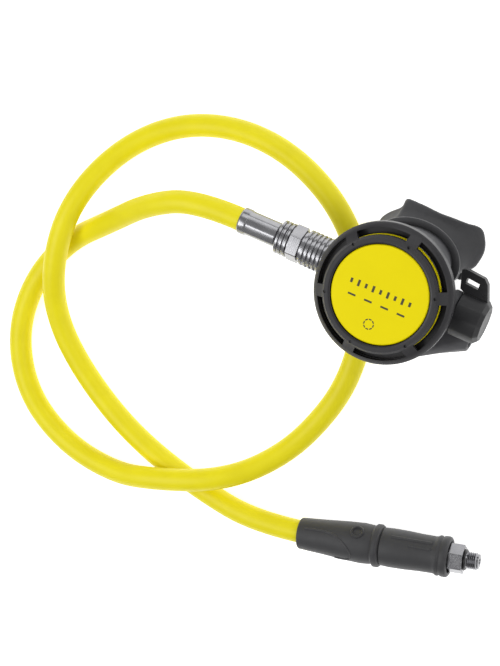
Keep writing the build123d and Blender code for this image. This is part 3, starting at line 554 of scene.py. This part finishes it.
front_profile = [
    (6.7, 0.2), (8.0, 0.0), (8.6, 0.6), (9.5, 14), (10.6, 27), (11.05, 36), (10.7, 40.6), (10.4, 41.8),
    (11.0, 42.4), (11.7, 43.1), (11.75, 44.4), (11.7, 45.4), (11.1, 46.2), (10.3, 46.5), (7.2, 46.5),
    (7.2, 23.4), (6.7, 23.4),
]
rear_profile = [
    (7.2, 46.8), (9.9, 46.8), (10.35, 47.3), (10.6, 52), (10.5, 60), (10.1, 68), (10.0, 75.5),
    (10.2, 76.8), (10.9, 77.8), (10.95, 78.6), (10.5, 79.3), (10.4, 79.8), (10.9, 80.4), (11.05, 81.4),
    (11.05, 82.8), (10.8, 83.6), (10.0, 84.2), (8.6, 84.2), (8.5, 77.7), (7.2, 77.7),
]
sleeve_front = turned_sleeve("sleeve_front", front_profile, "protector_front")
sleeve_rear = turned_sleeve("sleeve_rear", rear_profile, "protector_rear")
print("sleeves turned")

# %% [markdown]
# Relief has to follow the skin, so a place on the sleeve is given as how far along it and how far to the side,
# and the sleeve's own profile says how far out that is. A ridge is a round curve laid there, half sunk in.

# %% Relief on the sleeves
facing_up = math.radians(11)


def sleeve_radius(along):
    points = [(h, r) for r, h in front_profile[2:8] + rear_profile[2:7]]
    for (h0, r0), (h1, r1) in zip(points, points[1:]):
        if h0 <= along <= h1:
            return r0 + (r1 - r0) * (along - h0) / (h1 - h0)
    return points[-1][1]


def on_skin(along, side, proud=0.0):
    """A place on the sleeve: so far along it, and so far sideways as seen from above the set."""
    radius = sleeve_radius(along) + proud
    lean = facing_up + math.asin(max(-0.999, min(0.999, side / radius)))
    return Vector((-radius * math.cos(lean), radius * math.sin(lean), along))


def relief_line(name, places, width_mm, proud):
    """A fine moulded ridge that follows the skin of the sleeve."""
    ridge_curve = bpy.data.curves.new(name, "CURVE")
    ridge_curve.dimensions = "3D"
    ridge = ridge_curve.splines.new("NURBS")
    ridge.points.add(len(places) - 1)
    for point, (along, side) in zip(ridge.points, places):
        point.co = (on_sleeve @ on_skin(along, side, proud)).to_4d()
    ridge.order_u = 3
    ridge.use_endpoint_u = True
    ridge.resolution_u = 8
    ridge_curve.bevel_depth = width_mm / 2000
    ridge_curve.bevel_resolution = 3
    ridge_curve.use_fill_caps = True
    holder = bpy.data.objects.new(name, ridge_curve)
    bpy.context.collection.objects.link(holder)
    finished = holder.evaluated_get(bpy.context.evaluated_depsgraph_get())
    mesh = bpy.data.meshes.new_from_object(finished)
    bpy.data.objects.remove(holder)
    return put_in(name, mesh, sleeve_rubber, "root", (), sharp=80)


thumb = [(4, 3.6), (10, 3.9), (16, 3.8), (21, 3.0), (26, 0.6), (29.5, -2.6), (32, -6.0), (31.5, -9.0),
         (27, -9.8), (22, -9.4)]
reliefs = [
    relief_line("thumb_rest_edge", thumb, 1.3, -0.05),
    relief_line("sleeve_bar_upper", [(53, 6.6), (60, 6.5), (67, 6.4), (75, 6.3)], 1.9, -0.3),
    relief_line("sleeve_bar_lower", [(63, 3.2), (68, 3.1), (75, 3.0)], 1.2, -0.05),
]
pad = turned([(2.4, -1.0), (2.4, 0.1), (2.8, 0.7), (3.4, 0.7), (3.8, 0.1), (3.8, -1.0)], 48)
spot = on_skin(34.0, 6.3)
outward = Vector((spot.x, spot.y, 0))
standing_out = outward.to_track_quat("Z", "Y").to_matrix().to_4x4()
bmesh.ops.transform(pad, matrix=on_sleeve @ Matrix.Translation(spot) @ standing_out, verts=pad.verts)
reliefs.append(put_in("sleeve_round_pad", to_mesh("sleeve_round_pad", pad), sleeve_rubber, "root", ()))
print("relief pieces", len(reliefs))

# %% [markdown]
# The far end is a standard male low-pressure fitting: a hexagon for the spanner, an O-ring groove, and a
# 24-per-inch thread. The thread is a true helix. One tooth is spun and pushed along by one pitch a turn,
# so each turn's edge meets the next, and short plain collars close its two ends.

# %% End fitting
pitch = 25.4 / 24
hex_flats, hex_start = 14.29, 78.0
bore, shank, thread_root, thread_crest = 1.8, 5.2, 4.1, 4.7
o_ring_middle = on_sleeve.inverted() @ middle("fitting_o_ring")
hex_end = o_ring_middle.z - 0.75
thread_start, thread_end = hex_end + 1.9, hex_end + 8.2
form = bmesh.new()
bmesh.ops.create_circle(form, cap_ends=True, segments=6, radius=hex_flats / math.sqrt(3))
bmesh.ops.translate(form, vec=(0, 0, hex_start), verts=form.verts)
top = bmesh.ops.extrude_face_region(form, geom=list(form.faces))["geom"]
raised = [part for part in top if isinstance(part, bmesh.types.BMVert)]
bmesh.ops.translate(form, vec=(0, 0, hex_end - hex_start), verts=raised)
bmesh.ops.recalc_face_normals(form, faces=form.faces)
soften(form, 0.35, angle=30)
bits = [
    turned([(bore, 60), (shank, 60), (shank, hex_start + 0.5), (bore, hex_start + 0.5)]),
    turned([(bore, hex_end - 0.5), (6.9, hex_end - 0.5), (6.9, hex_end + 0.15), (4.25, hex_end + 0.25),
            (4.25, thread_start - 0.3), (thread_root, thread_start), (thread_root, thread_end),
            (3.9, thread_end + 0.1), (2.2, thread_end + 0.1), (bore, thread_end - 0.5)]),
]
thread = bmesh.new()
flank = ((thread_root, 0), (thread_crest, 0.42 * pitch), (thread_crest, 0.58 * pitch), (thread_root, pitch))
tooth = [thread.verts.new((radius, 0, height)) for radius, height in flank]
tooth_edges = [thread.edges.new((a, b)) for a, b in zip(tooth, tooth[1:])]
turns = int((thread_end - thread_start) / pitch)
steps_a_turn = 48
bmesh.ops.spin(thread, geom=tooth + tooth_edges, axis=(0, 0, 1), cent=(0, 0, 0),
               dvec=(0, 0, pitch / steps_a_turn), angle=2 * math.pi * turns, steps=steps_a_turn * turns,
               use_merge=False, use_duplicate=False)
bmesh.ops.remove_doubles(thread, verts=thread.verts, dist=0.001)
bmesh.ops.translate(thread, vec=(0, 0, thread_start - 0.4), verts=thread.verts)
bmesh.ops.recalc_face_normals(thread, faces=thread.faces)
for bit in bits + [thread]:
    part = to_mesh("bit", bit)
    form.from_mesh(part)
    bpy.data.meshes.remove(part)
bmesh.ops.transform(form, matrix=on_sleeve, verts=form.verts)
end_fitting = put_in("end_fitting", to_mesh("end_fitting", form), end_chrome, "root",
                     ("first_stage_fitting",), sharp=28)
print("end fitting: hexagon ends at", round(hex_end, 2), "turns of thread", turns)

# %% [markdown]
# The purge plate carries small printed marks in dark olive ink. Here they are plain: a row of bars, a row of
# dashes and one dashed ring, a few hundredths of a millimetre proud, as ink is, and they move with the button.

# %% Printed marks
plate_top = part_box("purge_button")[1][2] * 1000
ink_thick = 0.04
form = bmesh.new()


def mark(form, x, y, width, height, turn_by=0.0):
    bar = bmesh.ops.create_cube(form, size=1)["verts"]
    bmesh.ops.scale(form, vec=(width, height, ink_thick), verts=bar)
    bmesh.ops.rotate(form, cent=(0, 0, 0), matrix=Matrix.Rotation(turn_by, 3, "Z"), verts=bar)
    bmesh.ops.translate(form, vec=(x, y, plate_top + 0.01), verts=bar)


for k in range(9):
    mark(form, -16 + 4 * k, 1.5, 1.3, 3.4 if k % 2 else 2.4)
for k in range(4):
    mark(form, -13.5 + 9 * k, -5.2, 4.2, 1.0)
ring_radius, ring_y, ring_dashes = 2.5, -16.0, 8
for k in range(ring_dashes):
    angle = 2 * math.pi * k / ring_dashes
    mark(form, ring_radius * math.cos(angle), ring_y + ring_radius * math.sin(angle), 0.6, 1.5, angle)
bmesh.ops.transform(form, matrix=on_face, verts=form.verts)
put_in("purge_print", to_mesh("purge_print", form), print_ink, "button")
print("ink stands on the plate at", round(plate_top, 2))

# %% [markdown]
# The case and the exhaust tee have no hard edges at all: walls, bosses and ports flow into each other in the
# mould. A fine voxel skin laid over the exact part and smoothed a few times gives that flow everywhere.

# %% Melted copies
def melted_copy(node, name, voxel_mm, rounds):
    shape = bpy.data.objects.new(name + "_shape", to_mesh(name + "_shape", merged_copy(node)))
    bpy.context.collection.objects.link(shape)
    remesh = shape.modifiers.new("skin", "REMESH")
    remesh.mode = "VOXEL"
    remesh.voxel_size = voxel_mm / 1000
    smooth = shape.modifiers.new("flow", "SMOOTH")
    smooth.factor = 0.5
    smooth.iterations = rounds
    melted = shape.evaluated_get(bpy.context.evaluated_depsgraph_get())
    result = bpy.data.meshes.new_from_object(melted)
    result.name = name
    bpy.data.objects.remove(shape)
    piece = put_in(name, result, finish_of[slot_of[node]], body_of[node], (node,), sharp=75)
    print(name, "faces", len(piece.data.polygons))
    return piece


melted_copy("housing", "case_shell", 0.8, 6)
melted_copy("exhaust_tee", "exhaust_tee_rubber", 0.8, 8)

# %% [markdown]
# The purge plate is pushed back by a coil spring that shortens as the plate goes in. The coil is a merged copy
# of the exact one, kept at its full length.

# %% The purge spring
coil = put_in("purge_coil", to_mesh("purge_coil", merged_copy("purge_spring")), stainless, "root",
              ("purge_spring",))
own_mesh(coil)

# %% [markdown]
# The hose is about a metre of stiff rubber tube, whose far end carries the protector sleeves and the fitting.

# %% [markdown]
# The floor is a plain white table under big soft lamps. The lamps are wide and close to white, so metals
# show long soft streaks and the black parts keep a readable sheen.

# %% Floor and light
floor_form = bmesh.new()
bmesh.ops.create_grid(floor_form, x_segments=1, y_segments=1, size=30.0)
floor = bpy.data.objects.new("table", to_mesh("table", floor_form))
bpy.context.collection.objects.link(floor)
table_white, tree, shader = new_finish("white_table", Roughness=0.9, Specular_IOR_Level=0.1)
shader.inputs["Base Color"].default_value = color("FAFAFA")
shader.inputs["Emission Color"].default_value = color("FFFFFF")
shader.inputs["Emission Strength"].default_value = 0.75
floor.data.materials.append(table_white)

world = bpy.data.worlds.new("studio")
world.use_nodes = True
world.node_tree.nodes["Background"].inputs["Color"].default_value = color("FFFFFF")
world.node_tree.nodes["Background"].inputs["Strength"].default_value = 0.4
bpy.context.scene.world = world


def soft_lamp(name, place, target, size, power):
    lamp = bpy.data.objects.new(name, bpy.data.lights.new(name, "AREA"))
    lamp.data.shape = "RECTANGLE"
    lamp.data.size, lamp.data.size_y = size
    lamp.data.energy = power
    bpy.context.collection.objects.link(lamp)
    way = Vector(place) - Vector(target)
    lamp.matrix_world = Matrix.Translation(place) @ way.to_track_quat("Z", "Y").to_matrix().to_4x4()


middle_of_set = (Vector(cad_box[0]) + Vector(cad_box[1])) / 2
middle_of_set.z = 0
soft_lamp("key", (-0.55, -0.35, 0.95), middle_of_set, (0.9, 0.6), 6.2)
soft_lamp("fill", (0.75, 0.1, 0.8), middle_of_set, (0.7, 0.7), 2.4)
soft_lamp("back", (0.0, 0.8, 0.6), middle_of_set, (0.9, 0.5), 2.2)
bpy.context.scene.view_settings.view_transform = "Standard"
print("lamps set")
